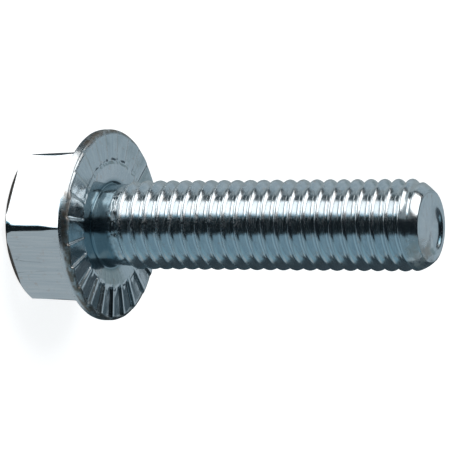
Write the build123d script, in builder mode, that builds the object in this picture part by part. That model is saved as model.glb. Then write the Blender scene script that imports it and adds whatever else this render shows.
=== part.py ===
from build123d import *
from math import atan, cos, degrees, pi, radians, sin, sqrt, tan
import os

# Driving sizes in millimetres: an M8 x 30 hexagon flange bolt with a serrated flange
# +Z runs along the bolt from the flat top of the head to the threaded tip
length = 30.0
pitch = 1.25
major_radius = 3.88
root_radius = 3.22
neck_radius = 3.55
neck_length = 1.7

# Hexagon head
head_height = 7.5
across_flats_top = 12.65
across_flats_base = 12.95
corner_fillet = 0.35
top_face_radius = 5.9
top_round_radius = 7.5
top_round_height = 2.0

# Flange and its bearing face
flange_radius = 8.4
rim_front_drop = 0.2
rim_back_drop = 0.95
flange_slope = 24.0
bearing_outer_radius = 8.2
bearing_inner_radius = 5.65
tooth_count = 24
tooth_depth = 0.22
tooth_land = 2.0
tooth_lean = 2.0
first_tooth_angle = -5.8
recess_radius = 3.95
recess_depth = 0.4
neck_flare = 0.5

# Thread and tip
tip_radius = 2.95
tip_chamfer = 1.55
dimple_radius = 1.8
dimple_depth = 0.45
crest_width = pitch / 8
root_width = pitch / 4
first_groove_rise = 1.735
groove_lengths = 6
turns_per_length = 4
run_out_rise = 0.4

bearing_z = head_height
tip_z = head_height + length
thread_z = bearing_z + neck_length

with BuildPart() as flange_bolt:
    # Hexagon with a little forging draft, wider towards the flange
    hexagon_z = bearing_z - rim_back_drop
    with BuildSketch(Plane.XY):
        RegularPolygon(radius=across_flats_top / 2, side_count=6, major_radius=False)
    with BuildSketch(Plane.XY.offset(hexagon_z)):
        RegularPolygon(radius=across_flats_base / 2, side_count=6, major_radius=False)
    loft()
    upright_edges = flange_bolt.edges().filter_by(lambda edge: abs(edge.tangent_at(0.5).Z) > 0.9)
    fillet(upright_edges, radius=corner_fillet)

    # Top of the head: flat in the middle, rounded off towards the corners
    clear_radius = across_flats_base
    with BuildSketch(Plane.XZ):
        with BuildLine():
            ThreePointArc(
                (top_face_radius, 0),
                (top_face_radius + 1.02, 0.58),
                (top_round_radius, top_round_height),
            )
            Polyline(
                (top_round_radius, top_round_height),
                (clear_radius, top_round_height),
                (clear_radius, hexagon_z),
                (0, hexagon_z),
                (0, 0),
                (top_face_radius, 0),
            )
        make_face()
    revolve(axis=Axis.Z, mode=Mode.INTERSECT)

    # One turned outline for the rest: sloping back of the flange, bevelled rim, bearing
    # face dished around the neck, neck, blank of the thread, chamfer and dimpled tip
    rim_back_z = bearing_z - rim_back_drop
    rim_front_z = bearing_z - rim_front_drop
    slope_radius = across_flats_base / 2 - 0.4
    slope_z = rim_back_z - (flange_radius - slope_radius) * tan(radians(flange_slope))
    recess_z = bearing_z - recess_depth
    dimple_sphere = (dimple_radius**2 + dimple_depth**2) / (2 * dimple_depth)
    dimple_half_z = dimple_depth - dimple_sphere + sqrt(dimple_sphere**2 - dimple_radius**2 / 4)
    with BuildSketch(Plane.XZ):
        with BuildLine():
            Polyline((0, slope_z), (slope_radius, slope_z), (flange_radius, rim_back_z))
            Polyline(
                (flange_radius, rim_back_z),
                (flange_radius, rim_front_z),
                (bearing_outer_radius, bearing_z),
                (bearing_inner_radius, bearing_z),
            )
            ThreePointArc(
                (bearing_inner_radius, bearing_z),
                ((bearing_inner_radius + recess_radius) / 2, recess_z + 0.1),
                (recess_radius, recess_z),
            )
            Polyline(
                (recess_radius, recess_z),
                (neck_radius, recess_z + neck_flare),
                (neck_radius, thread_z),
                (major_radius, thread_z + (major_radius - neck_radius) * 1.5),
                (major_radius, tip_z - tip_chamfer),
                (tip_radius, tip_z),
                (dimple_radius, tip_z),
            )
            ThreePointArc(
                (dimple_radius, tip_z),
                (dimple_radius / 2, tip_z - dimple_half_z),
                (0, tip_z - dimple_depth),
            )
            Line((0, tip_z - dimple_depth), (0, slope_z))
        make_face()
    revolve(axis=Axis.Z)

    # Saw-like teeth on the bearing face: each has a narrow land, falls away to the foot
    # of the next one, and its steep side bites when the bolt is turned back
    tooth_step = 2 * pi / tooth_count
    for index in range(tooth_count):
        ramp_start = radians(first_tooth_angle + tooth_land) + index * tooth_step
        ramp_width = tooth_step - radians(tooth_land)
        middle_angle = ramp_start + ramp_width / 2
        for radius in (bearing_inner_radius - 0.25, flange_radius + 0.3):
            half_width = radius * tan(ramp_width / 2)
            lean = radius * radians(tooth_lean)
            depth = tooth_depth * radius / bearing_outer_radius
            tooth_plane = Plane(
                origin=(radius * cos(middle_angle), radius * sin(middle_angle), bearing_z),
                x_dir=(-sin(middle_angle), cos(middle_angle), 0),
                z_dir=(cos(middle_angle), sin(middle_angle), 0),
            )
            with BuildSketch(tooth_plane):
                with BuildLine():
                    Polyline(
                        (-half_width, 0),
                        (half_width - lean, -depth),
                        (half_width, 0),
                        (half_width, 0.3),
                        (-half_width, 0.3),
                        close=True,
                    )
                make_face()
        loft(mode=Mode.SUBTRACT)

    # Thread: a helical groove cut from the blank in equal lengths that run on from each
    # other, out past the tip, which leaves narrow crests
    groove_z = bearing_z + first_groove_rise
    cut_depth = major_radius - root_radius
    flank_gain = (pitch - crest_width - root_width) / 2 / cut_depth
    outer_depth = cut_depth + 0.1
    outer_half_width = root_width / 2 + flank_gain * outer_depth
    length_rise = turns_per_length * pitch
    for index in range(groove_lengths):
        length_z = groove_z + index * length_rise
        with BuildLine() as groove_path:
            Helix(pitch=pitch, height=length_rise, radius=root_radius, center=(0, 0, length_z))
        groove_plane = Plane(origin=(root_radius, 0, length_z), x_dir=(1, 0, 0), z_dir=(0, 1, 0))
        with BuildSketch(groove_plane):
            with BuildLine():
                Polyline(
                    (0, -root_width / 2),
                    (outer_depth, -outer_half_width),
                    (outer_depth, outer_half_width),
                    (0, root_width / 2),
                    close=True,
                )
            make_face()
        sweep(path=groove_path.wire(), is_frenet=True, mode=Mode.SUBTRACT)

    # Run-out: the groove climbs out of the neck over the half turn before it
    run_out_radius = root_radius + run_out_rise
    run_out_z = groove_z - pitch / 2
    run_out_cone = -degrees(atan(run_out_rise / (pitch / 2)))
    run_out = Helix(
        pitch=pitch,
        height=pitch / 2,
        radius=run_out_radius,
        cone_angle=run_out_cone,
        mode=Mode.PRIVATE,
    )
    with BuildLine() as run_out_path:
        add(Pos(0, 0, run_out_z) * Rot(0, 0, 180) * run_out)
    run_out_plane = Plane(origin=(-run_out_radius, 0, run_out_z), x_dir=(-1, 0, 0), z_dir=(0, -1, 0))
    with BuildSketch(run_out_plane):
        with BuildLine():
            Polyline(
                (0, -root_width / 2),
                (outer_depth, -outer_half_width),
                (outer_depth, outer_half_width),
                (0, root_width / 2),
                close=True,
            )
        make_face()
    sweep(path=run_out_path.wire(), is_frenet=True, mode=Mode.SUBTRACT)

os.makedirs("parts", exist_ok=True)
flange_bolt.part.label = "flange_bolt"
export_step(flange_bolt.part, "parts/flange_bolt.step")
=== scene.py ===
import math

import bmesh
import bpy
from mathutils import Matrix, Vector, noise


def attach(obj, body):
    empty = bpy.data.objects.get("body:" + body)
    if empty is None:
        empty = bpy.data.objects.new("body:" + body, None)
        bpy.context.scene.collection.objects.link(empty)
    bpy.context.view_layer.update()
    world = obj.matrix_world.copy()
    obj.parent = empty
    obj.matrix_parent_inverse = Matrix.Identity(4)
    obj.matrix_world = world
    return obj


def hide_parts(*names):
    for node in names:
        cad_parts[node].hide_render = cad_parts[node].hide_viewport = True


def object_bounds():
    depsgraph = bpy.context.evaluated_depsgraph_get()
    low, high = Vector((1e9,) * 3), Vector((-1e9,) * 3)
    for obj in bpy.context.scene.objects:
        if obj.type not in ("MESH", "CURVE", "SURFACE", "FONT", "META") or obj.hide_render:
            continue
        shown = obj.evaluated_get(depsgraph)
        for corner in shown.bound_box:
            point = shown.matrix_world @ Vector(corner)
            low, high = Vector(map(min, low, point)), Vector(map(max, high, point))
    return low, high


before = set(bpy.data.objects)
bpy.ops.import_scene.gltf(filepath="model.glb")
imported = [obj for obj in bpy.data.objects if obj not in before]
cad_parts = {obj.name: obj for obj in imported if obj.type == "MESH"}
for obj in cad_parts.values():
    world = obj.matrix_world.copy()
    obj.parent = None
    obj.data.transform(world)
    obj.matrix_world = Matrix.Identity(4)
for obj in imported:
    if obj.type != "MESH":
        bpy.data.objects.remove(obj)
cad_low, cad_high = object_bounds()

# Flange bolt, forged head: the hexagon, which a 13 mm spanner turns, is pressed from steel
# wire with a little draft. The sizes are in millimetres and the mesh is made in metres.
MM = 0.001
shank_length = 30.0
head_height = cad_high.z / MM - shank_length
across_flats_top = 12.65
across_flats_base = 12.95
top_face_radius = 5.9
top_round_radius = 7.5
top_round_height = 2.0
top_round_power = 1.8
corner_fillet_top = 0.75
corner_fillet_base = 0.3
fillet_change = (0.6, 0.86)
hexagon_angle = math.pi / 3
half_side_angle = math.pi / 6
flange_radius = 8.4
rim_back_drop = 0.95
rim_back_z = head_height - rim_back_drop
flange_slope = math.tan(math.radians(24.0))
slope_start_radius = 7.9
cove_size = 0.35
foot_drop = 2.0
wave_height, wave_size = 0.012, 2.2
ripple_height, ripple_size = 0.006, 0.7
flat_limit = 0.001
top_rows, round_rows, wall_rows, cove_rows = 5, 9, 16, 5
corner_degrees = (-3.0, -2.3, -1.7, -1.1, -0.55, 0.0, 0.55, 1.1, 1.7, 2.3, 3.0)
flat_steps = 20
halvings = 30

points = []
faces = []


def add_point(radius, angle, height, shift=(0.0, 0.0)):
    """Adds one vertex from its radius, angle and height, and returns its number."""
    x = radius * math.cos(angle) + shift[0]
    y = radius * math.sin(angle) + shift[1]
    points.append((x * MM, y * MM, height * MM))
    return len(points) - 1


def lump(angle, height, radius, size, seed):
    """Smooth unevenness from -1 to 1 that is about size millimetres from lump to lump."""
    x, y = radius * math.cos(angle), radius * math.sin(angle)
    return noise.noise(Vector((x / size + seed, y / size - seed, height / size + 2.7 * seed)))


def blend(low, high, at):
    """A smooth step from 0 at low to 1 at high."""
    t = min(max((at - low) / (high - low), 0.0), 1.0)
    return t * t * (3.0 - 2.0 * t)


def grid_faces(rings):
    """Joins rings of vertices that have the same count, each closed on itself."""
    for lower, upper in zip(rings, rings[1:]):
        count = len(lower)
        for j in range(count):
            k = (j + 1) % count
            faces.append((lower[j], lower[k], upper[k], upper[j]))


def stitch_rings(inner, inner_angles, outer, outer_angles):
    """Joins two closed rings whose vertices stand at different angles."""
    a = list(zip(inner_angles, inner)) + [(inner_angles[0] + math.tau, inner[0])]
    b = list(zip(outer_angles, outer)) + [(outer_angles[0] + math.tau, outer[0])]
    i = j = 0
    while i < len(a) - 1 or j < len(b) - 1:
        if j == len(b) - 1 or (i < len(a) - 1 and a[i + 1][0] <= b[j + 1][0]):
            faces.append((a[i][1], a[i + 1][1], b[j][1]))
            i += 1
        else:
            faces.append((a[i][1], b[j + 1][1], b[j][1]))
            j += 1


def hexagon_radius(angle, height):
    """Distance from the axis to the hexagon's wall, with its corners rounded off."""
    up = height / rim_back_z
    flat = (across_flats_top + (across_flats_base - across_flats_top) * up) / 2
    change = blend(*fillet_change, up)
    fillet = corner_fillet_top + (corner_fillet_base - corner_fillet_top) * change
    turn = angle % (2 * half_side_angle) - half_side_angle
    from_corner = half_side_angle - abs(turn)
    centre = (flat - fillet) / math.cos(half_side_angle)
    span = half_side_angle - math.atan((flat - fillet) * math.tan(half_side_angle) / flat)
    if from_corner > span:
        return flat / math.cos(turn)
    aside = centre * math.sin(from_corner)
    return centre * math.cos(from_corner) + math.sqrt(fillet**2 - aside**2)


def top_round(height):
    """Radius of the rounded edge of the head's top at a height above that top."""
    down = max(top_round_height - height, 0.0) / top_round_height
    reach = (1.0 - down**top_round_power) ** (1.0 / top_round_power)
    return top_face_radius + (top_round_radius - top_face_radius) * reach


def slope_height(radius):
    """Height of the flange's sloping back at a radius."""
    return rim_back_z - (flange_radius - radius) * flange_slope


def round_edge_height(angle):
    """Height at which the rounded top meets the hexagon's wall, found by halving."""
    low, high = 0.0, top_round_height
    for _ in range(halvings):
        middle = (low + high) / 2
        if top_round(middle) < hexagon_radius(angle, middle):
            low = middle
        else:
            high = middle
    return (low + high) / 2


def head_outline(angle):
    """Radius and height of the head's outline at one angle, from its top to the flange."""
    edge_z = round_edge_height(angle)
    outline = [(top_face_radius * (k + 1) / top_rows, 0.0) for k in range(top_rows)]
    for k in range(1, round_rows + 1):
        z = edge_z * (k / round_rows) ** top_round_power
        outline.append((top_round(z), z))
    foot_z = slope_height(hexagon_radius(angle, head_height - foot_drop))
    cove_z = foot_z - cove_size
    for k in range(1, wall_rows + 1):
        z = edge_z + (cove_z - edge_z) * k / wall_rows
        outline.append((hexagon_radius(angle, z), z))
    wall_radius = outline[-1][0]
    for k in range(1, cove_rows + 1):
        t = k / cove_rows
        r = wall_radius + cove_size * t * t
        z = (1 - t) ** 2 * cove_z + 2 * t * (1 - t) * foot_z + t * t * slope_height(r)
        outline.append((r, z))
    end_radius = (outline[-1][0] + slope_start_radius) / 2
    outline.append((end_radius, slope_height(end_radius)))
    return outline


corner_fan = [math.radians(a) for a in corner_degrees]
head_angles = []
for corner in range(6):
    corner_angle = corner * hexagon_angle
    head_angles += [corner_angle + a for a in corner_fan]
    first = corner_angle + corner_fan[-1]
    last = corner_angle + hexagon_angle + corner_fan[0]
    head_angles += [first + (last - first) * k / flat_steps for k in range(1, flat_steps)]

head_rings = [[] for _ in range(top_rows + round_rows + wall_rows + cove_rows + 1)]
for angle in head_angles:
    for ring, (r, z) in zip(head_rings, head_outline(angle)):
        uneven = wave_height * lump(angle, z, r, wave_size, 3.0)
        uneven += ripple_height * lump(angle, z, r, ripple_size, 5.0)
        if z < flat_limit:
            ring.append(add_point(r, angle, z + 0.5 * abs(uneven)))
        else:
            ring.append(add_point(r + uneven - wave_height, angle, z))
grid_faces(head_rings)
top_centre = add_point(0.0, 0.0, 0.0)
for j in range(len(head_angles)):
    faces.append((top_centre, head_rings[0][j], head_rings[0][(j + 1) % len(head_angles)]))

# Flange, forged with the head: a sloping back, a rounded rim and a bearing face of 24
# saw-like teeth, worn and burred, round a dish that runs into the foot of the neck
bearing_outer_radius = 8.12
bearing_inner_radius = 5.65
bearing_inset = 0.004
bearing_radii = (bearing_outer_radius, 8.04, 7.9, 7.6, 7.2, 6.8, 6.4, 6.1, 5.9, 5.76, 5.66)
tooth_count = 24
tooth_depth = 0.22
tooth_land = math.radians(1.6)
tooth_lean = math.radians(1.6)
lean_average, lean_spread = 0.75, 0.6
far_wear, wear_spread = 0.6, 0.3
tooth_wander = math.radians(1.1)
first_tooth_angle = math.radians(-5.8)
land_steps, ramp_steps, side_steps = 3, 10, 3
rim_corner = 0.22
rim_low_z = rim_back_z + 0.1
rim_high_z = head_height - 0.32
rim_back_turn, rim_front_turn = 66.0, 72.0
rim_steps = 5
rim_share = 0.35
recess_radius = 3.78
recess_depth = 0.4
shallow_depth = 0.6 * recess_depth
recess_share, share_fall = 0.66, 14
neck_radius = 3.55
foot_rise = 0.55
dish_rows, foot_rows = 15, 6
burr_height, near_burr_height, burr_size = 0.03, 0.04, 0.32
land_height, land_size = 0.02, 0.9
nick_depth, nick_size = 0.05, 0.33
dent_depth, dent_size = 0.018, 1.3
mark_height, mark_pitch = 0.004, 0.46
edge_inset = 0.01


def tooth_chance(index, step, seed):
    """Unevenness from -1 to 1 that differs from tooth to tooth."""
    return noise.noise(Vector((step * index, *seed)))


def rim_point(turn, centre_z):
    """Radius and height of a point on one of the rim's two rounded edges."""
    r = flange_radius - rim_corner + rim_corner * math.cos(turn)
    return r, centre_z + rim_corner * math.sin(turn)


tooth_starts = []
for index in range(tooth_count):
    wander = tooth_wander * tooth_chance(index, 3.1, (0.4, 7.7))
    tooth_starts.append(first_tooth_angle + index * math.tau / tooth_count + wander)

# Angles round the flange, with how far each tooth has dropped at them: its narrow land, the
# long ramp down and the steep side back up, which are more worn on the far side
flange_angles, flange_drops = [], []
for index, start in enumerate(tooth_starts):
    following = tooth_starts[(index + 1) % tooth_count]
    if index == tooth_count - 1:
        following += math.tau
    lean = tooth_lean * (lean_average + lean_spread * tooth_chance(index, 2.3, (5.5, 1.3)))
    lean *= 1.0 - 0.5 * blend(0.68, 0.85, math.sin(start))
    foot = following - lean
    wear = far_wear * blend(-0.1, 0.9, -math.sin(start))
    wear += wear_spread * tooth_chance(index, 1.7, (9.1, 2.2))
    depth = tooth_depth * (1.0 - wear)
    for k in range(land_steps):
        flange_angles.append(start + tooth_land * k / land_steps)
        flange_drops.append(0.0)
    for k in range(ramp_steps + 1):
        ramp_turn = (foot - start - tooth_land) * k / ramp_steps
        flange_angles.append(start + tooth_land + ramp_turn)
        flange_drops.append(depth * k / ramp_steps)
    for k in range(1, side_steps):
        flange_angles.append(foot + lean * k / side_steps)
        flange_drops.append(depth * (1 - k / side_steps))

# Outline of the flange from its back to the neck: radius, height and share of the teeth
flange_line = [(r, slope_height(r), 0.0) for r in (slope_start_radius, bearing_outer_radius)]
for k in range(rim_steps + 1):
    turn = math.radians(-rim_back_turn + rim_back_turn * k / rim_steps)
    flange_line.append((*rim_point(turn, rim_low_z), 0.0))
for k in range(rim_steps + 1):
    turn = math.radians(rim_front_turn * k / rim_steps)
    flange_line.append((*rim_point(turn, rim_high_z), rim_share * k / rim_steps))
for r in bearing_radii:
    share = r / bearing_outer_radius * blend(8.2, 8.08, r)
    flange_line.append((r, head_height - bearing_inset, share))
for k in range(1, dish_rows + 1):
    t = k / dish_rows
    r = bearing_inner_radius + (recess_radius - bearing_inner_radius) * t
    flange_line.append((r, head_height - recess_depth * t, recess_share * (1 - t) ** share_fall))
for k in range(1, foot_rows + 1):
    t = k / foot_rows
    r = recess_radius + (neck_radius - recess_radius) * (1 - (1 - t) ** 2)
    flange_line.append((r, head_height - recess_depth + foot_rise * t * t, 0.0))

flange_rings = []
for r, z, share in flange_line:
    # Burrs and nicks lie round the inner ends of the teeth, turning marks in the dish and
    # dents on the rim
    at_burrs = blend(6.1, 5.75, r) * blend(5.3, 5.6, r)
    nick_outer, nick_inner = blend(5.85, 5.7, r), blend(5.4, 5.6, r)
    dish_outer, dish_inner = blend(5.6, 5.3, r), blend(4.0, 4.4, r)
    at_rim = blend(7.6, 8.2, r)
    inward = max(bearing_inner_radius - r, 0.0) / (bearing_inner_radius - recess_radius)
    inward = min(inward, (r - neck_radius) / (recess_radius - neck_radius))
    ring = []
    for angle, drop in zip(flange_angles, flange_drops):
        shallow = shallow_depth * blend(0.1, 0.95, -math.sin(angle))
        near_side = blend(0.1, 0.7, math.sin(angle))
        burr = burr_height + near_burr_height * near_side
        rough = burr * lump(angle, z, r, burr_size, 11.0) * at_burrs
        rough += land_height * lump(angle, z, r, land_size, 12.0) * share
        mark = mark_height * near_side * math.sin(math.tau * r / mark_pitch)
        rough += mark * dish_outer * dish_inner
        nick = blend(-0.3, 0.2, lump(angle, z, r, nick_size, 14.0)) * nick_outer * nick_inner
        rough -= nick_depth * nick * blend(0.4, 0.8, -math.sin(angle - 0.3))
        height = min(z + shallow * inward - share * drop + rough, head_height)
        dent = dent_depth * lump(angle, z, r, dent_size, 21.0) * at_rim
        outward = r + dent - edge_inset * (r > 8.3)
        ring.append(add_point(min(outward, flange_radius), angle, height))
    flange_rings.append(ring)
grid_faces(flange_rings)
stitch_rings(head_rings[-1], head_angles, flange_rings[0], flange_angles)

# Shank: a short plain neck and a right-hand M8 thread, rolled between dies, so its roots
# and crests are round, its run-out by the neck is torn and its crests carry a fine seam
pitch = 1.25
major_radius = 3.88
root_radius = 3.22
first_groove_rise = 1.735
crest_round = 0.13
root_round = 0.05
root_half = 0.17
crest_half = 0.125
torn_relief, torn_size = 0.08, 0.26
start_wander, wander_size = 0.18, 0.7
crest_drop, crest_raggedness = 0.004, 0.022
neck_z = head_height + 0.55
tip_z = cad_high.z / MM
tip_edge_z = tip_z - 0.05
tip_chamfer = 1.55
tip_bulge = 1.6
tip_radius = 3.0
tip_shift = (0.0, 0.12)
shift_start_z = tip_z - 1.6
shank_columns = 160
edge_gap = 0.03

# Rows of vertices in one turn of the thread, as shares of its pitch: from the root up one
# flank, over the crest and back down to the next root
root_phases = (0.0, 0.05, 0.085, 0.12)
flank_phases = (0.2, 0.3, 0.39)
crest_phases = (0.45, 0.5, 0.55, 0.61)
back_phases = (0.7, 0.8, 0.88, 0.915, 0.95)
phase_rows = root_phases + flank_phases + crest_phases + back_phases


def round_clamp(t):
    """Rises from 0 to 1 as a thread's flank does, with round turns at both ends."""
    from_root = math.sqrt(t * t + root_round**2)
    from_crest = math.sqrt((1 - t) ** 2 + crest_round**2)
    return 0.5 + 0.5 * (from_root - from_crest)


flank_share = 1.0 - crest_half - root_half
root_level = round_clamp(-root_half / flank_share)
crest_level = round_clamp((1.0 - root_half) / flank_share)


def shank_radius(angle, height):
    """Radius of the neck, the thread and the chamfered tip."""
    rise = height - head_height
    phase = ((rise - first_groove_rise) / pitch - angle / math.tau) % 1.0
    away = 1.0 - abs(2.0 * phase - 1.0)
    level = round_clamp((away - root_half) / flank_share)
    lift = (level - root_level) / (crest_level - root_level)
    torn = blend(0.95, 1.2, rise) * blend(2.2, 1.7, rise)
    start = rise + start_wander * lump(angle, height, 3.6, wander_size, 31.0)
    crest = neck_radius + (major_radius - neck_radius) * blend(1.3, 2.35, start)
    root = neck_radius + (root_radius - neck_radius) * blend(1.2, 2.3, start)
    crest_wear = blend(0.8, 1.0, away) * blend(1.6, 2.2, rise)
    ragged = lump(angle, height * 2.0, 3.8, 0.5, 41.0)
    crest -= crest_wear * (crest_drop + crest_raggedness * ragged * blend(26.0, 5.0, rise))
    down = max(rise - (shank_length - tip_chamfer), 0.0) / tip_chamfer
    limit = major_radius - (major_radius - tip_radius) * down**tip_bulge
    fade = 0.5 * blend(28.4, 29.0, rise) + 0.5 * blend(29.25, 29.6, rise)
    lift += (1.0 - lift) * fade
    radius = root + (crest - root) * lift
    flakes = abs(lump(angle, height * 1.3, 3.6, torn_size, 51.0))
    return min(radius + torn * torn_relief * flakes, limit)


# Columns of vertices up the shank. A vertex's key is its height with the thread's rise taken
# away, so vertices of one key lie along the thread and are joined from column to column
first_key, last_key, past_key = -1e9, 1e9, 2e9
same_key = pitch / 500
columns = []
for column in range(shank_columns):
    angle = math.tau * column / shank_columns
    lead = pitch * column / shank_columns
    line = [(first_key, neck_z)]
    turn = math.floor((neck_z - head_height) / pitch) - 2
    while turn * pitch + head_height < tip_z + pitch:
        for phase in phase_rows:
            key = head_height + first_groove_rise + (turn + phase) * pitch
            if neck_z + edge_gap < key + lead < tip_edge_z - edge_gap:
                line.append((key, key + lead))
        turn += 1
    line.append((last_key, tip_edge_z))
    made = []
    for key, z in line:
        end = blend(shift_start_z, tip_z, z)
        shift = (tip_shift[0] * end, tip_shift[1] * end)
        made.append((key, add_point(shank_radius(angle, z), angle, z, shift)))
    columns.append(made)

for column in range(shank_columns):
    left = columns[column]
    right = columns[(column + 1) % shank_columns]
    step = -pitch if column == shank_columns - 1 else 0.0
    i = j = 0
    while i < len(left) - 1 or j < len(right) - 1:
        left_key = left[i + 1][0] if i < len(left) - 1 else past_key
        right_key = right[j + 1][0] + step if j < len(right) - 1 else past_key
        both_end = min(left_key, right_key) > last_key / 2
        if both_end or abs(left_key - right_key) < same_key:
            faces.append((left[i][1], right[j][1], right[j + 1][1], left[i + 1][1]))
            i, j = i + 1, j + 1
        elif left_key < right_key:
            faces.append((left[i][1], right[j][1], left[i + 1][1]))
            i += 1
        else:
            faces.append((left[i][1], right[j][1], right[j + 1][1]))
            j += 1

shank_angles = [math.tau * k / shank_columns for k in range(shank_columns)]
dish_edge = sorted((a % math.tau, vertex) for a, vertex in zip(flange_angles, flange_rings[-1]))
stitch_rings(
    [column[0][1] for column in columns],
    shank_angles,
    [vertex for _, vertex in dish_edge],
    [angle for angle, _ in dish_edge],
)

# End of the shank: rolled over by the dies, so it has a soft edge, and its cup has a steep
# wall on one side only and runs out smoothly on the other
cup_radius = 2.15
cup_depth = 0.27
cup_shift = (-0.4, 0.35)
near_drop = 0.1
edge_drop = 0.05
dip_height, dip_size = 0.006, 0.8
steep_side = math.radians(150.0)
outer_end_radii = (2.98, 2.9, 2.8, 2.68, 2.55, 2.42, 2.3, 2.2)
inner_end_radii = (2.12, 2.04, 1.95, 1.85, 1.7, 1.45, 1.1, 0.7, 0.3)
end_rings = [[column[-1][1] for column in columns]]
for radius in outer_end_radii + inner_end_radii:
    off_centre = blend(3.0, 2.2, radius)
    shift_x = cup_shift[0] * off_centre
    shift_y = tip_shift[1] + (cup_shift[1] - tip_shift[1]) * off_centre
    wall = cup_depth * blend(cup_radius + 0.05, cup_radius - 0.55, radius)
    ring = []
    for angle in shank_angles:
        steep = blend(-0.3, 0.8, math.cos(angle - steep_side))
        facing = 0.25 + 0.75 * blend(-0.3, 0.5, math.cos(angle))
        edge = edge_drop * blend(2.5, 3.0, radius) ** 2 * facing
        near = near_drop * (0.5 + 0.5 * math.cos(angle) * min(radius / 2.8, 1.0))
        slope = near + (cup_depth - near) * blend(2.9, -0.4, radius)
        z = tip_z - edge - wall * steep - slope * (1.0 - steep) * blend(3.0, 2.8, radius)
        z -= dip_height * (1 + lump(angle, 0.0, radius, dip_size, 61.0))
        ring.append(add_point(radius, angle, z, (shift_x, shift_y)))
    end_rings.append(ring)
grid_faces(end_rings)
end_centre = add_point(0.0, 0.0, tip_z - cup_depth, cup_shift)
for j in range(shank_columns):
    faces.append((end_rings[-1][j], end_rings[-1][(j + 1) % shank_columns], end_centre))

mesh = bpy.data.meshes.new("zinc_bolt")
mesh.from_pydata(points, [], faces)
work = bmesh.new()
work.from_mesh(mesh)
bmesh.ops.recalc_face_normals(work, faces=work.faces)
work.to_mesh(mesh)
work.free()
mesh.polygons.foreach_set("use_smooth", [True] * len(mesh.polygons))
bolt = bpy.data.objects.new("zinc_bolt", mesh)
bpy.context.scene.collection.objects.link(bolt)

# Bright zinc plating over the forged and rolled steel: it mirrors the studio softly, with a
# faint blue cast. Draw streaks run along the head and die streaks round the shank; the rim
# is duller and stained brown, and the crests carry a seam of fine specks.
# The foot of the neck and the steep sides of the teeth are painted darker: painted shade.
plating_blue = (0.68, 0.735, 0.77, 1.0)
plating_pale = (0.84, 0.87, 0.88, 1.0)
plating_cloud = (0.60, 0.68, 0.73, 1.0)
faint_brown = (0.66, 0.56, 0.50, 1.0)
rim_dirt_dark = (0.13, 0.10, 0.08, 1.0)
rim_dirt_pale = (0.36, 0.29, 0.23, 1.0)
scratch_grey = (0.16, 0.17, 0.18, 1.0)
torn_bright = (0.9, 0.92, 0.92, 1.0)
neck_shade_slate = (0.22, 0.33, 0.38, 1.0)
tooth_side_shade_grey = (0.26, 0.31, 0.34, 1.0)
lower_tooth_shade_dark = (0.06, 0.075, 0.08, 1.0)
end_brown = (0.62, 0.56, 0.50, 1.0)
relief_height = 0.012

zinc = bpy.data.materials.new("bright_zinc_plate")
zinc.use_nodes = True
nodes, links = zinc.node_tree.nodes, zinc.node_tree.links
shader = nodes["Principled BSDF"]
shader.inputs["Metallic"].default_value = 1.0


def add_node(kind, inputs, **settings):
    """Adds a node, with its settings and with numbers or links on its inputs."""
    made = nodes.new(kind)
    for name, value in settings.items():
        setattr(made, name, value)
    for name, value in inputs.items():
        if isinstance(value, bpy.types.NodeSocket):
            links.new(value, made.inputs[name])
        else:
            made.inputs[name].default_value = value
    return made.outputs


def math_node(operation, first, second=0.0):
    """Adds a sum, product or other step on numbers."""
    return add_node("ShaderNodeMath", {0: first, 1: second}, operation=operation)["Value"]


def times(first, *others):
    """Multiplies masks and numbers with each other."""
    for other in others:
        first = math_node("MULTIPLY", first, other)
    return first


def add_shares(value, shares):
    """Adds masks to a value, each times its own amount."""
    for mask, amount in shares:
        value = math_node("ADD", value, times(mask, amount))
    return value


def ramp_node(value, low, high, to_low=0.0, to_high=1.0):
    """Adds a smooth step between two values."""
    ends = {"Value": value, "From Min": low, "From Max": high, "To Min": to_low, "To Max": to_high}
    return add_node("ShaderNodeMapRange", ends, interpolation_type="SMOOTHSTEP")["Result"]


def edge_node(distance, low, high, to_high=1.0):
    """Adds a smooth step between two distances in millimetres."""
    return ramp_node(distance, low * MM, high * MM, 0.0, to_high)


def stretch_node(vector, scale):
    """Adds a product of a vector and a scale for each axis."""
    product = {0: vector, 1: scale}
    return add_node("ShaderNodeVectorMath", product, operation="MULTIPLY")["Vector"]


def noise_node(vector, scale, detail=2.0, roughness=0.5):
    """Adds a noise over a vector; a tuple for scale stretches it."""
    if isinstance(scale, tuple):
        vector = stretch_node(vector, scale)
        scale = 1.0
    inputs = {"Vector": vector, "Scale": scale, "Detail": detail, "Roughness": roughness}
    return add_node("ShaderNodeTexNoise", inputs)["Fac"]


def mix_node(factor, first, second):
    """Adds a mix of two colours, whose sockets are numbers 6 and 7 and whose result is 2."""
    mixer = nodes.new("ShaderNodeMix")
    mixer.data_type = "RGBA"
    for number, value in ((0, factor), (6, first), (7, second)):
        if isinstance(value, bpy.types.NodeSocket):
            links.new(value, mixer.inputs[number])
        else:
            mixer.inputs[number].default_value = value
    return mixer.outputs[2]


# Where a point of the bolt is: across, up, away from the axis and round it
place = add_node("ShaderNodeTexCoord", {})["Object"]
flattened = {0: stretch_node(place, (1.0, 1.0, 0.0))}
from_axis = add_node("ShaderNodeVectorMath", flattened, operation="LENGTH")["Value"]
parts = add_node("ShaderNodeSeparateXYZ", {"Vector": place})
across, aside, up = parts["X"], parts["Y"], parts["Z"]
around = math_node("ARCTAN2", aside, across)
along = add_node("ShaderNodeCombineXYZ", {"X": around, "Y": from_axis, "Z": up})["Vector"]
face_normal = add_node("ShaderNodeNewGeometry", {})["Normal"]
facing_up = add_node("ShaderNodeSeparateXYZ", {"Vector": face_normal})["Z"]
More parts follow.
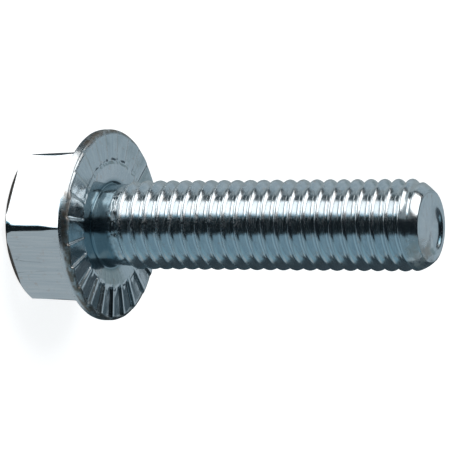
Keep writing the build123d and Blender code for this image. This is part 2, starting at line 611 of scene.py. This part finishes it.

# Masks of the bolt's regions, with their limits in millimetres: neck_foot_shade is the foot of the
# neck, where painted shade goes, tooth_side is the steep sides of the teeth and at_end is one side
# of the tip
on_head = edge_node(up, 6.9, 6.6)
on_shank = times(edge_node(up, 7.9, 8.3), edge_node(from_axis, 4.3, 4.0))
on_rim = times(edge_node(from_axis, 7.9, 8.25), edge_node(up, 6.3, 6.7))
rim_front = times(on_rim, edge_node(up, 6.75, 7.0))
# Painted light: the rim's brown stain, its own colour, is kept thin on its upper side, where the
# white highlight falls
rim_highlight_side = times(edge_node(aside, -2.4, -4.0), edge_node(aside, -7.5, -6.7))
on_crest = times(edge_node(from_axis, 3.7, 3.86), on_shank)
on_run_out = times(edge_node(up, 8.3, 8.6), edge_node(up, 10.2, 9.2), on_shank)
near_head = edge_node(up, 30.0, 12.0)
# Painted shade: the foot of the neck, which is coloured dark slate further down
neck_foot_shade = times(edge_node(up, 9.3, 8.5), edge_node(from_axis, 4.3, 3.7))
neck_foot_shade = times(neck_foot_shade, edge_node(up, 6.9, 7.0, 0.85))
tooth_side = times(ramp_node(facing_up, 0.94, 0.8), edge_node(from_axis, 5.5, 5.7))
tooth_side = times(tooth_side, edge_node(up, 7.1, 7.2), edge_node(from_axis, 8.2, 8.1))
at_end = times(edge_node(up, 36.0, 36.8), edge_node(aside, 0.6, 2.0), edge_node(across, -0.6, 0.6))

# Streaks left by the forging on the head and flange and by the rolling on the shank
draw_streaks = noise_node(place, (5200.0, 5200.0, 170.0), 4.0, 0.6)
die_streaks = noise_node(along, (2.4, 0.0, 5000.0), 3.0, 0.5)
radial_streaks = noise_node(along, (26.0, 260.0, 260.0), 4.0, 0.6)
flange_streaks = times(radial_streaks, math_node("SUBTRACT", 1.0, on_head))
forged_streaks = math_node("ADD", times(draw_streaks, on_head), flange_streaks)
streak_kinds = {"Factor": on_shank, "A": forged_streaks, "B": die_streaks}
streaks = add_node("ShaderNodeMix", streak_kinds)["Result"]

# Grain and specks of the plating, scratches on one face of the head, the seam on the crests,
# torn flecks at the run-out, stains, and painted shade on the steep sides of the lower teeth
grain = noise_node(place, 7000.0, 4.0, 0.65)
clouds = noise_node(place, 420.0, 4.0, 0.6)
patches = noise_node(place, 1100.0, 5.0, 0.7)
specks = ramp_node(noise_node(place, 3600.0, 3.0, 0.7), 0.56, 0.66)
scratch_field = noise_node(place, (620.0, 620.0, 34.0), 1.0)
from_line = math_node("ABSOLUTE", math_node("SUBTRACT", scratch_field, 0.5))
scratches = times(ramp_node(from_line, 0.005, 0.0), ramp_node(clouds, 0.44, 0.56))
scratches = times(scratches, times(edge_node(aside, -1.0, 1.0), on_head))
seam_specks = ramp_node(noise_node(place, (2600.0, 2600.0, 5200.0), 3.0, 0.7), 0.45, 0.6)
seam = times(on_crest, near_head, seam_specks)
torn = times(on_run_out, specks)
stain = times(rim_front, ramp_node(patches, 0.32, 0.6, 0.15, 0.95))
# Painted light: less stain on the rim's upper side, so that side stays lighter
stain = times(stain, math_node("SUBTRACT", 1.0, times(rim_highlight_side, 0.7)))
faint_stain = times(ramp_node(noise_node(place, 1500.0, 4.0, 0.7), 0.55, 0.7), 0.5)
# Painted shade: the steep sides of the teeth on the lower side are darkened nearly to black,
# broken only by specks
lower_tooth_shade = times(tooth_side, edge_node(aside, 3.4, 4.6), ramp_node(specks, 1.0, 0.3))
dull = times(at_end, ramp_node(noise_node(place, 900.0, 4.0, 0.65), 0.35, 0.6))

colour = mix_node(ramp_node(streaks, 0.25, 0.75), plating_blue, plating_pale)
colour = mix_node(times(clouds, 0.25), colour, plating_cloud)
colour = mix_node(faint_stain, colour, faint_brown)
colour = mix_node(stain, colour, mix_node(grain, rim_dirt_dark, rim_dirt_pale))
colour = mix_node(times(scratches, 0.75), colour, scratch_grey)
colour = mix_node(times(torn, 0.35), colour, torn_bright)
# Painted shade: the foot of the neck is coloured dark slate, standing in for the dark flange it
# would mirror
colour = mix_node(neck_foot_shade, colour, neck_shade_slate)
# Painted shade: the steep sides of the teeth are greyed to hold back the white they would mirror
colour = mix_node(times(tooth_side, 0.4), colour, tooth_side_shade_grey)
# Painted shade on the steep sides of the lower teeth
colour = mix_node(times(lower_tooth_shade, 0.92), colour, lower_tooth_shade_dark)
colour = mix_node(times(dull, 0.6), colour, end_brown)
links.new(colour, shader.inputs["Base Color"])

gloss = add_shares(ramp_node(streaks, 0.3, 0.7, 0.11, 0.17), (
    (on_rim, 0.1),
    (on_shank, 0.03),
    (stain, 0.16),
    (seam, 0.22),
    (on_head, 0.03),
    (dull, 0.38),
    (tooth_side, 0.2),
))
links.new(gloss, shader.inputs["Roughness"])

relief = add_shares(times(streaks, 0.06), (
    (grain, 0.08),
    (clouds, 0.5),
    (scratches, -0.3),
    (times(patches, on_rim), 1.5),
    (seam, 0.08),
    (torn, 0.9),
))
bump_inputs = {"Height": relief, "Distance": relief_height * MM, "Strength": 1.0}
bump = add_node("ShaderNodeBump", bump_inputs)
links.new(bump["Normal"], shader.inputs["Normal"])
bolt.data.materials.append(zinc)

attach(bolt, "root")
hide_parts("flange_bolt")

# Floor: a white sheet of paper that the bolt stands on, head down. It shows as white
# and keeps a faint shadow.
floor_size = 4.0
paper_glow = 0.85
bpy.ops.mesh.primitive_plane_add(size=floor_size, location=(0, 0, 0))
floor = bpy.context.object
floor.name = "paper_floor"
paper = bpy.data.materials.new("white_paper")
paper.use_nodes = True
nodes, links = paper.node_tree.nodes, paper.node_tree.links
shader = nodes["Principled BSDF"]
shader.inputs["Base Color"].default_value = (0.8, 0.8, 0.8, 1.0)
shader.inputs["Roughness"].default_value = 0.9
shader.inputs["Specular IOR Level"].default_value = 0.0
shader.inputs["Emission Color"].default_value = (1.0, 1.0, 1.0, 1.0)
rays = add_node("ShaderNodeLightPath", {})
seen = math_node("ADD", rays["Is Camera Ray"], rays["Is Glossy Ray"])
also = {0: seen, 1: rays["Is Transmission Ray"]}
seen = add_node("ShaderNodeMath", also, operation="ADD", use_clamp=True)["Value"]
links.new(times(seen, paper_glow), shader.inputs["Emission Strength"])
floor.data.materials.append(paper)

# Studio: cards round the bolt that only its polish mirrors. Low leaves lie round it as a
# shallow bowl, and bands arch over it at a distance, from the camera's side to behind.
camera_angle = -2.8
band_distance = 220.0
leaf_steps, band_steps, ring_steps = 8, 12, 48
bowl_profile = ((0.0, 0.01), (4.0, 0.12), (14.0, 1.2), (50.0, 12.0), (92.0, 38.0))
low_profile = ((0.0, 0.01), (4.0, 0.12), (14.0, 1.2), (92.0, 15.0))
near_profile = ((0.0, 0.02), (4.0, 0.13), (12.5, 1.1))
gap_profile = ((0.0, 0.01), (11.6, 0.02))
card_white = (1.9, 1.9, 1.9)
card_cyan = (0.3, 0.6, 0.75)
card_black = (0.006, 0.009, 0.012)


def card_material(name, colour):
    """An even glow of one colour."""
    coat = bpy.data.materials.new(name)
    coat.use_nodes = True
    coat.cycles.emission_sampling = "NONE"
    tree = coat.node_tree
    tree.nodes.clear()
    glow = tree.nodes.new("ShaderNodeEmission")
    glow.inputs["Color"].default_value = (*colour, 1.0)
    out = tree.nodes.new("ShaderNodeOutputMaterial")
    tree.links.new(glow.outputs["Emission"], out.inputs["Surface"])
    return coat


def add_card(name, rows, colour):
    """Places a card, given as rows of corners, that shows only in reflections."""
    corners = [(x * MM, y * MM, z * MM) for row in rows for x, y, z in row]
    count = len(rows[0])
    panes = []
    for i in range(len(rows) - 1):
        for j in range(count - 1):
            at = i * count + j
            panes.append((at, at + 1, at + count + 1, at + count))
    sheet = bpy.data.meshes.new(name)
    sheet.from_pydata(corners, [], panes)
    sheet.materials.append(card_material(name, colour))
    card = bpy.data.objects.new(name, sheet)
    bpy.context.scene.collection.objects.link(card)
    card.visible_camera = False
    card.visible_diffuse = False
    card.visible_shadow = False


def add_leaf(name, start, end, colour, apex=0.0, inner=6.4, lift=0.0, profile=bowl_profile):
    """Adds one leaf of the bowl between two angles. Its sides run out from the head's edge,
    or from an apex in front of the axis where one is given."""
    rows = []
    for k in range(leaf_steps + 1):
        turn = math.radians(camera_angle + start + (end - start) * k / leaf_steps)
        row = []
        for out, z in profile:
            reach = out + (0.0 if apex else inner)
            row.append((apex + reach * math.cos(turn), reach * math.sin(turn), z + lift))
        rows.append(row)
    add_card(name, rows, colour)


def add_band(name, sides, colour, start, end, last_sides=None, reach=1.0):
    """Adds a band that arches over the bolt between two angles. Its sides, and its last sides
    where they differ, are shares of its distance, which reach makes shorter or longer."""
    far = band_distance * reach
    rows = []
    for k in range(band_steps + 1):
        turn = math.radians(start + (end - start) * k / band_steps)
        row = []
        for first, last in zip(sides, last_sides or sides):
            side = first + (last - first) * (k / band_steps)
            out = far * math.sqrt(1 - side * side)
            row.append((out * math.cos(turn), far * side, out * math.sin(turn)))
        rows.append(row)
    add_card(name, rows, colour)


add_leaf("white_leaf", -74.0, -2.0, card_white, profile=low_profile)
add_leaf("cyan_leaf", -37.0, -20.0, card_cyan, apex=6.0, lift=0.01, profile=low_profile)
add_leaf("black_leaf", -31.0, 30.0, (0.008, 0.012, 0.014), apex=6.0, lift=0.02)
add_leaf("blue_leaf", 2.0, 96.0, (0.23, 0.35, 0.42))
add_leaf("near_blue_leaf", 2.0, 96.0, (0.37, 0.42, 0.45), profile=near_profile)
add_leaf("slate_leaf", 96.0, 180.0, (0.04, 0.065, 0.08))
add_leaf("gap_leaf", -98.0, -74.0, (0.05, 0.07, 0.08))
add_leaf("grey_leaf", -180.0, -98.0, (0.30, 0.35, 0.37), inner=18.0)
add_leaf("near_gap_leaf", -180.0, -98.0, (0.04, 0.05, 0.055), profile=gap_profile)

add_band("white_band", (-0.78, -0.23), card_white, 66.0, 94.0, (-0.78, -0.21))
add_band("high_white_band", (-0.78, -0.21), card_white, 94.0, 114.0, (-0.8, -0.34))
add_band("gap_band", (-0.9, -0.2), (0.012, 0.022, 0.027), 113.0, 127.0, reach=1.02)
add_band("cyan_band", (-0.27, -0.18), card_cyan, 90.0, 114.0, (-0.40, -0.31), reach=0.98)
add_band("black_band", (-0.34, 0.30), card_black, 12.0, 116.0, (-0.24, 0.28), reach=1.01)
add_band("edge_black_band", (-0.46, -0.2), card_black, 60.0, 88.0, (-0.42, -0.2), reach=0.97)
add_band("blue_band", (0.2, 0.62), (0.19, 0.32, 0.39), 84.0, 116.0, (0.34, 0.66))
add_band("edge_band", (0.6, 1.0), (0.33, 0.40, 0.43), 62.0, 112.0, (0.64, 0.98), reach=0.95)
add_band("low_blue_band", (0.28, 1.0), (0.17, 0.26, 0.31), 18.0, 84.0)
add_band("pale_band", (0.45, 0.95), (0.36, 0.35, 0.34), 20.0, 38.0, reach=0.9)
add_band("back_band", (-0.75, 0.13), (0.31, 0.385, 0.43), 127.0, 148.0)
add_band("light_back_band", (-0.75, 0.13), (0.355, 0.425, 0.47), 148.0, 160.0)
add_band("far_back_band", (-0.75, -0.2), (0.31, 0.37, 0.40), 160.0, 171.0)
add_band("dish_band", (-0.36, -0.05), (0.19, 0.25, 0.27), 143.0, 174.0, reach=0.84)
add_band("rear_band", (-0.75, -0.25), (0.3, 0.36, 0.39), 171.0, 186.0)

# A dark ring flat on the floor, which the rounded edge of the head's top mirrors: painted contact
# shade, a dark sheet where the shade round the head's foot would be
ring_radii, ring_height = (5.0, 6.75), 0.04
ring_rows = []
for k in range(ring_steps + 1):
    turn = math.tau * k / ring_steps
    ring_rows.append([(r * math.cos(turn), r * math.sin(turn), ring_height) for r in ring_radii])
add_card("contact_shade_ring", ring_rows, (0.06, 0.055, 0.05))

# Room and lamp: the room's walls darken from one side to the other, and one softbox lights
# the floor and the bolt without showing in the polish
pale_wall = (0.36, 0.42, 0.45, 1.0)
middle_wall = (0.06, 0.08, 0.095, 1.0)
dark_wall = (0.03, 0.045, 0.055, 1.0)
world = bpy.data.worlds.new("studio_room")
bpy.context.scene.world = world
world.use_nodes = True
nodes, links = world.node_tree.nodes, world.node_tree.links
direction = add_node("ShaderNodeTexCoord", {})["Generated"]
sideways = add_node("ShaderNodeSeparateXYZ", {"Vector": direction})["Y"]
room_ends = {"Value": sideways, "From Min": -0.8, "From Max": 0.8}
room = add_node("ShaderNodeMapRange", room_ends)["Result"]
walls = nodes.new("ShaderNodeValToRGB")
stops = walls.color_ramp.elements
stops[0].color = pale_wall
stops[1].color = dark_wall
stops.new(0.5).color = middle_wall
links.new(room, walls.inputs["Fac"])
links.new(walls.outputs["Color"], nodes["Background"].inputs["Color"])
nodes["Background"].inputs["Strength"].default_value = 1.0

lamp = bpy.data.lights.new("softbox", "AREA")
lamp.energy = 0.35
lamp.shape = "RECTANGLE"
lamp.size, lamp.size_y = 0.25, 0.12
softbox = bpy.data.objects.new("softbox", lamp)
softbox.location = (0.02, -0.16, 0.32)
lit_point = Vector((0, 0, 0.02))
softbox.rotation_euler = (lit_point - softbox.location).to_track_quat("-Z", "Y").to_euler()
softbox.visible_glossy = False
bpy.context.scene.collection.objects.link(softbox)

# Camera: a long lens on a tripod, turned on its side, so that the standing bolt lies across
# the picture, and looking down at it from in front
camera_place = Vector((213.855, -10.470, 125.15))
to_right = Vector((-0.44571, 0.02092, 0.89493))
forward = Vector((-0.89384, 0.04415, -0.44620))
camera_data = bpy.data.cameras.new("camera")
camera_data.lens = 221.3
camera_data.sensor_width = 36.0
camera_data.clip_start, camera_data.clip_end = 0.01, 10.0
camera = bpy.data.objects.new("camera", camera_data)
to_right = (to_right - to_right.dot(forward) / forward.length_squared * forward).normalized()
forward.normalize()
upward = to_right.cross(forward)
turned = Matrix((to_right, upward, -forward)).transposed().to_4x4()
camera.matrix_world = Matrix.Translation(camera_place * MM) @ turned
bpy.context.scene.collection.objects.link(camera)
bpy.context.scene.camera = camera
bpy.context.scene.view_settings.view_transform = "Standard"
